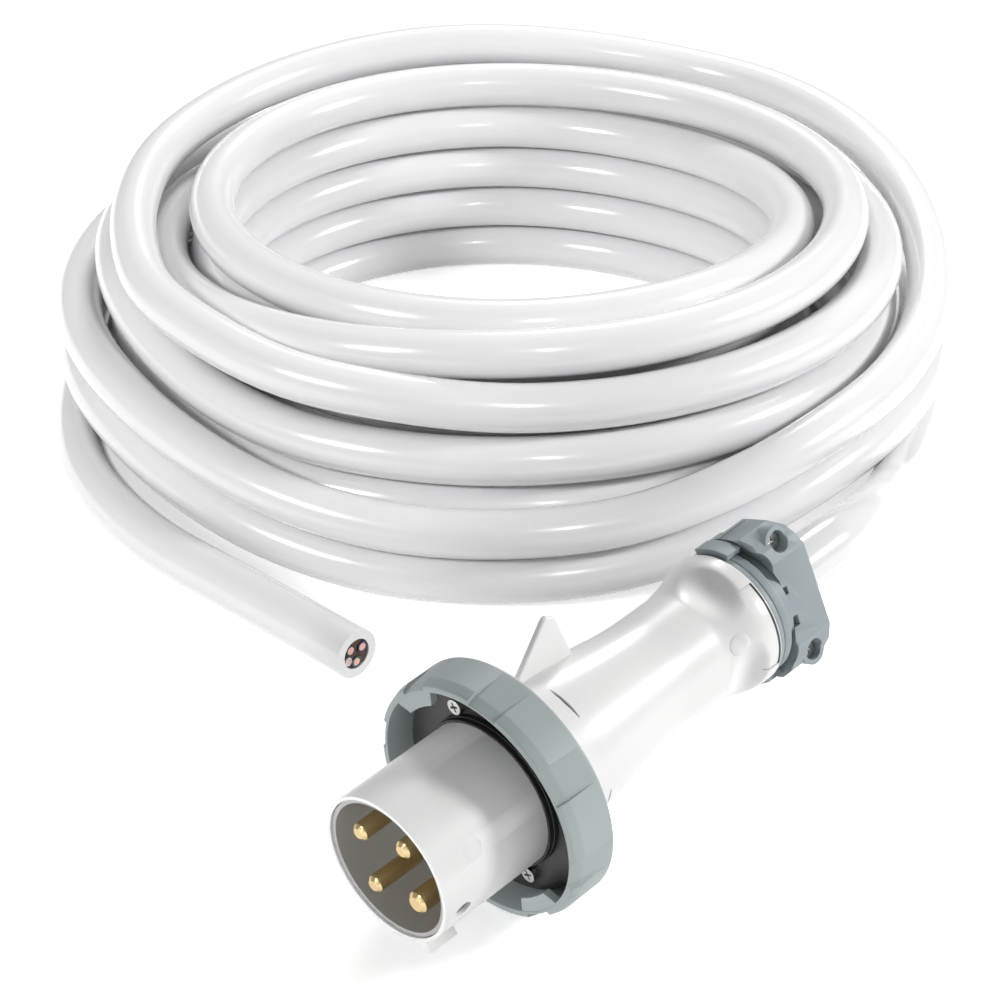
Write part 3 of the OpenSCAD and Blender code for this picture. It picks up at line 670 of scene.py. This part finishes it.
# %% Ring
ring_front = [(52, 54.9), (52.1, 55.25), (52.4, 55.6), (53.5, 55.95), (55, 56.4), (56.6, 56.9)]
ring_wall = [(a, RING_R) for a in (57, 57.5, *spread(59, 73, 1.5), 73.3, 73.8)]
ring_lip = [(74.2, 56.9), (74.8, 56.2), (75, 55.6), (75, 44.6), (70.3, 44.6), (70.3, 52)]
ring_bore = [(69.8, RING_BORE), (52.5, RING_BORE), (52.1, 52.7), (52, 53)]
ring_stations = ring_front + ring_wall + ring_lip + ring_bore
grip_walls = [GRIP_FIRST + GRIP_STEP * i + s * (GRIP_DEG / 2 - d) for i in range(GRIPS)
              for s in (-1, 1) for d in (0, GRIP_WALL_DEG / 2, GRIP_WALL_DEG)]
ring_angles = sorted({round(a % 360, 3) for a in spread(0, 360, FACET_DEG) + grip_walls})
ring = finished("ring", wound("ring", ring_stations, ring_angles, ring_skin), "locking_ring", "ring",
                "ring_grey")
print("ring:", len(ring.data.polygons), "faces")

# %% [markdown]
# ## The bayonet lugs
# Two lugs with sloping sides reach in from the ring's mouth and hook behind the inlet. Each is a slab
# between two curved outlines, sunk a little into the ring.

# %% Lugs
LUG_PSI, LUG_IN, LUG_DEG, LUG_SLOPE_DEG = 128, 46, 15, 4
LUG_SUNK, LUG_FRONT, LUG_REAR, LUG_EDGE = 0.4, 0.3, 4.3, 0.5
LUG_STEPS = 8


def lug_face(middle, a):
    """The outline of a lug at one place along the axis."""
    steps = range(LUG_STEPS + 1)
    tip_deg, foot_r = LUG_DEG - LUG_SLOPE_DEG, RING_BORE + LUG_SUNK
    tip = [on_plug(a, LUG_IN, middle + tip_deg * (2 * k / LUG_STEPS - 1)) for k in steps]
    foot = [on_plug(a, foot_r, middle + LUG_DEG * (1 - 2 * k / LUG_STEPS)) for k in steps]
    return tip + foot


for number, middle in enumerate((LUG_PSI, LUG_PSI + 180), 1):
    faces = (lug_face(middle, RING_A + LUG_FRONT), lug_face(middle, RING_A + LUG_REAR))
    lug = finished("ring_lug_%d" % number, slab("lug", faces), None, "ring", "ring_grey")
    rounded(lug, LUG_EDGE, 2)

# %% [markdown]
# ## Softened edges
# Moulded and turned pieces have no razor edges. The other pieces keep their exact shape from the CAD
# model; a merged copy with a small bevel takes the place of each, so that its edges catch the light.

# %% Softened copies
MERGE_MM, FLAT_DEG, SOFT_SHARP_DEG = 0.002, 1, 30
SOFT_EDGES = {"sleeve_housing": 0.35, "contact_carrier": 0.3, "line_pin_1": 0.25, "line_pin_2": 0.25,
              "line_pin_3": 0.25, "earth_pin": 0.25, "front_plate": 0.3, "face_gasket": 0.5,
              "assembly_screws": 0.25, "clamp_collar": 0.2, "clamp_jaw_near": 0.7, "clamp_jaw_far": 0.7,
              "clamp_screws": 0.3, "clamp_nuts": 0.3, "end_insulation_1": 0.2, "end_insulation_2": 0.2,
              "end_insulation_3": 0.2, "end_insulation_4": 0.2, "end_filler": 0.3}
for name, width in SOFT_EDGES.items():
    node = frame["nodes"][name]
    work = bmesh.new()
    work.from_mesh(node.data)
    work.transform(node.matrix_world)
    bmesh.ops.remove_doubles(work, verts=work.verts, dist=MERGE_MM * MM)
    bmesh.ops.dissolve_limit(work, angle_limit=math.radians(FLAT_DEG), verts=work.verts, edges=work.edges)
    mesh = bpy.data.meshes.new(name + "_soft")
    work.to_mesh(mesh)
    work.free()
    rounded(finished(name + "_soft", mesh, name, "cord", slot_of[name], SOFT_SHARP_DEG), width, 2)
print("softened:", len(SOFT_EDGES), "pieces")

# %% [markdown]
# ## Copper strands
# Each core ends in a bundle of thin strands. Geometry Nodes stand one strand on every point of a round
# packing, and each is shortened a little at random, so that the cut isn't quite even. Points for the
# packing are easier to work out in Python than in nodes, so the tree takes them as its geometry.

# %% Tree that stands a strand on each point
STRAND_R, STRAND_SIDES = 0.2, 8
# the strands are this much shorter than the stretch that the CAD model gives them
STRAND_SHORT = 0.3
# each input of the tree: its kind and its value
STRAND_INPUTS = {"Strand radius": ("NodeSocketFloat", STRAND_R * MM),
                 "Length": ("NodeSocketFloat", CUT_LEN - STRAND_SHORT * MM),
                 "Uneven ends": ("NodeSocketFloat", 0.01),
                 "Seed": ("NodeSocketInt", 7)}

strands = bpy.data.node_groups.new("copper strands", "GeometryNodeTree")
strands.interface.new_socket("Geometry", in_out="INPUT", socket_type="NodeSocketGeometry")
strands.interface.new_socket("Geometry", in_out="OUTPUT", socket_type="NodeSocketGeometry")
sockets = {name: strands.interface.new_socket(name, in_out="INPUT", socket_type=kind)
           for name, (kind, _) in STRAND_INPUTS.items()}
given = add(strands, "NodeGroupInput")
rod = add(strands, "GeometryNodeMeshCylinder",
          {"Radius": given.outputs["Strand radius"], "Depth": given.outputs["Length"]},
          {"Vertices": STRAND_SIDES})
shortest = add(strands, "ShaderNodeMath", {1: given.outputs["Uneven ends"]}, {0: 1.0},
               operation="SUBTRACT")
least = add(strands, "ShaderNodeCombineXYZ", {"Z": shortest.outputs[0]}, {"X": 1.0, "Y": 1.0})
scale = add(strands, "FunctionNodeRandomValue", {0: least.outputs[0], "Seed": given.outputs["Seed"]},
            {1: (1, 1, 1)}, data_type="FLOAT_VECTOR")
stand = add(strands, "GeometryNodeInstanceOnPoints",
            {"Points": given.outputs["Geometry"], "Instance": rod.outputs["Mesh"],
             "Scale": scale.outputs[0]}, {"Rotation": (0, math.radians(90), 0)})
real = add(strands, "GeometryNodeRealizeInstances", {"Geometry": stand.outputs["Instances"]})
dressed = add(strands, "GeometryNodeSetMaterial", {"Geometry": real.outputs["Geometry"]},
              {"Material": copper})
add(strands, "NodeGroupOutput", {"Geometry": dressed.outputs["Geometry"]})

# %% Points of the strands
# each core is (angle in the cable, distance from its middle, radius of the bundle)
CORES = ((28, 4.584, 2.2), (138, 4.584, 2.2), (272, 4.584, 2.2), (205, 5.584, 1.5))
# the packing tries this many places each way, a pitch and a row apart, both in strand radii
PACK = 6
PITCH, ROW = 2.05, 1.78

centres = []
for psi, out, bundle in CORES:
    turn = math.radians(psi + 90)
    # the circle's plane: its x points down, its y across, as on a cylinder laid along +X
    y, z = out * math.sin(turn), -out * math.cos(turn)
    for i in range(-PACK, PACK + 1):
        for j in range(-PACK, PACK + 1):
            dy, dz = (i + j / 2) * PITCH * STRAND_R, j * ROW * STRAND_R
            if math.hypot(dy, dz) < bundle - STRAND_R:
                centres.append(CUT + Vector((-CUT_LEN / 2, (y + dy) * MM, (z + dz) * MM)))
print("strands:", len(centres))

# %% Strands
points = bpy.data.meshes.new("strand points")
points.from_pydata(centres, [], [])
source = bpy.data.objects.new("strand source", points)
bpy.context.scene.collection.objects.link(source)
standing = source.modifiers.new("strands", "NODES")
standing.node_group = strands
for name, (_, value) in STRAND_INPUTS.items():
    standing[sockets[name].identifier] = value
bpy.context.view_layer.update()
evaluated = source.evaluated_get(bpy.context.evaluated_depsgraph_get())
bundle_mesh = bpy.data.meshes.new_from_object(evaluated)
source.modifiers.clear()
bpy.data.objects.remove(source)
finished("copper_strands", bundle_mesh, "end_copper", "cord", "copper")

# %% [markdown]
# ## The floor
# A white floor catches a soft shadow. Lit by lamps alone it would look grey, and more lamps would bleach
# the cord. So it glows a little, but only for rays that come from the camera or from something shiny.


# %% Floor
def plain_plane(name, size, z):
    """A level square about the origin, at a height."""
    mesh = bpy.data.meshes.new(name)
    half = size / 2
    corners = [(-half, -half, z), (half, -half, z), (half, half, z), (-half, half, z)]
    mesh.from_pydata(corners, [], [(0, 1, 2, 3)])
    made = bpy.data.objects.new(name, mesh)
    bpy.context.scene.collection.objects.link(made)
    return made


def for_rays(tree, *kinds):
    """1 for a ray that is of one of two kinds, otherwise 0."""
    path = add(tree, "ShaderNodeLightPath")
    either = add(tree, "ShaderNodeMath", {k: path.outputs[kind] for k, kind in enumerate(kinds)},
                 operation="MAXIMUM")
    return either.outputs[0]


FLOOR_SIZE, FLOOR_GLOW = 12, 0.6
floor = plain_plane("floor", FLOOR_SIZE, 0)
floor_white = bpy.data.materials.new("studio floor, white")
floor_white.use_nodes = True
tree = floor_white.node_tree
tree.nodes.clear()
glow = add(tree, "ShaderNodeMath", {0: for_rays(tree, "Is Camera Ray", "Is Glossy Ray")},
           {1: FLOOR_GLOW}, operation="MULTIPLY")
matte = add(tree, "ShaderNodeBsdfDiffuse", values={"Color": linear("#F0F0F0")})
lift = add(tree, "ShaderNodeEmission", {"Strength": glow.outputs[0]}, {"Color": (1, 1, 1, 1)})
both = add(tree, "ShaderNodeAddShader", {0: matte.outputs[0], 1: lift.outputs[0]})
add(tree, "ShaderNodeOutputMaterial", {"Surface": both.outputs[0]})
floor.data.materials.append(floor_white)

# %% [markdown]
# ## The world
# It looks white to the camera and is much dimmer as a light, which leaves the lamps their shadows.

# %% World
WORLD_LIGHT = 0.37

world = bpy.data.worlds.new("studio")
bpy.context.scene.world = world
world.use_nodes = True
tree = world.node_tree
tree.nodes.clear()
dim = add(tree, "ShaderNodeBackground", values={"Color": (1, 1, 1, 1), "Strength": WORLD_LIGHT})
white = add(tree, "ShaderNodeBackground", values={"Color": (1, 1, 1, 1), "Strength": 1.0})
mixed = add(tree, "ShaderNodeMixShader", {0: for_rays(tree, "Is Camera Ray", "Is Transmission Ray"),
                                          1: dim.outputs[0], 2: white.outputs[0]})
add(tree, "ShaderNodeOutputWorld", {"Surface": mixed.outputs[0]})

# %% [markdown]
# ## The lamps
# Two key lamps stand behind the coil, so that the ring throws its shadow forward on the sleeve. A large
# lamp in front fills the coil's near side. A narrow spot reaches into the sleeve to its pins, and a
# small lamp at the camera's side draws bright streaks on the gloss and lights nothing else.


# %% Lamps
def lamp(name, kind, place, aim, power):
    """A lamp at a place, turned towards what it lights."""
    made = bpy.data.objects.new(name, bpy.data.lights.new(name, kind))
    made.data.energy = power
    made.location = place
    made.rotation_euler = (Vector(aim) - Vector(place)).to_track_quat("-Z", "Y").to_euler()
    bpy.context.scene.collection.objects.link(made)
    return made


def panel_lamp(name, place, aim, size, power):
    """A rectangle that gives light, told by its two sides."""
    made = lamp(name, "AREA", place, aim, power)
    made.data.shape = "RECTANGLE"
    made.data.size, made.data.size_y = size
    return made


# what the lamps are aimed at; sizes are in metres and powers in watts
MIDST, COIL_MIDST, PINS = (-0.2, 0.1, 0.05), (-0.33, 0.28, 0.07), (0, -0.11, 0.05)
panel_lamp("key behind right", (1.35, 1.5, 1.1), MIDST, (0.4, 0.4), 32)
panel_lamp("key behind left", (-1.3, 1.6, 1.6), MIDST, (0.5, 0.4), 22)
panel_lamp("front fill", (-0.3, -2.2, 1.6), COIL_MIDST, (0.6, 0.5), 40)
spot = lamp("spot into the sleeve", "SPOT", (0.12, -2.0, 0.12), PINS, 240)
spot.data.spot_size = math.radians(2.7)
spot.data.spot_blend = 0.7
spot.data.shadow_soft_size = 0.06
streak = panel_lamp("streak lamp", (1.02, -0.57, 1.18), MIDST, (0.12, 0.35), 3)
streak.visible_diffuse = False

# %% [markdown]
# ## A black card
# In a studio a card on a stand keeps light off one thing and lets the rest have it. This one shades the
# plug from the front fill. The camera and reflections don't see it.

# %% Card that keeps the front fill off the plug
CARD_SIZE, CARD_AT, CARD_FACING = 0.26, (-0.04, -0.28, 0.25), (-0.11, -0.81, 0.57)

card = plain_plane("card", CARD_SIZE, 0)
card.location = CARD_AT
card.rotation_euler = Vector(CARD_FACING).to_track_quat("Z", "Y").to_euler()
card.visible_camera = card.visible_glossy = False
card_black = bpy.data.materials.new("studio card, black")
card_black.use_nodes = True
card_shader = card_black.node_tree.nodes["Principled BSDF"]
card_shader.inputs["Base Color"].default_value = linear("#1A1A1A")
card.data.materials.append(card_black)

# %% [markdown]
# ## Last lines
# The Standard view shows colours as they were written.

# %% Finish
bpy.context.scene.view_settings.view_transform = "Standard"
bpy.context.view_layer.update()
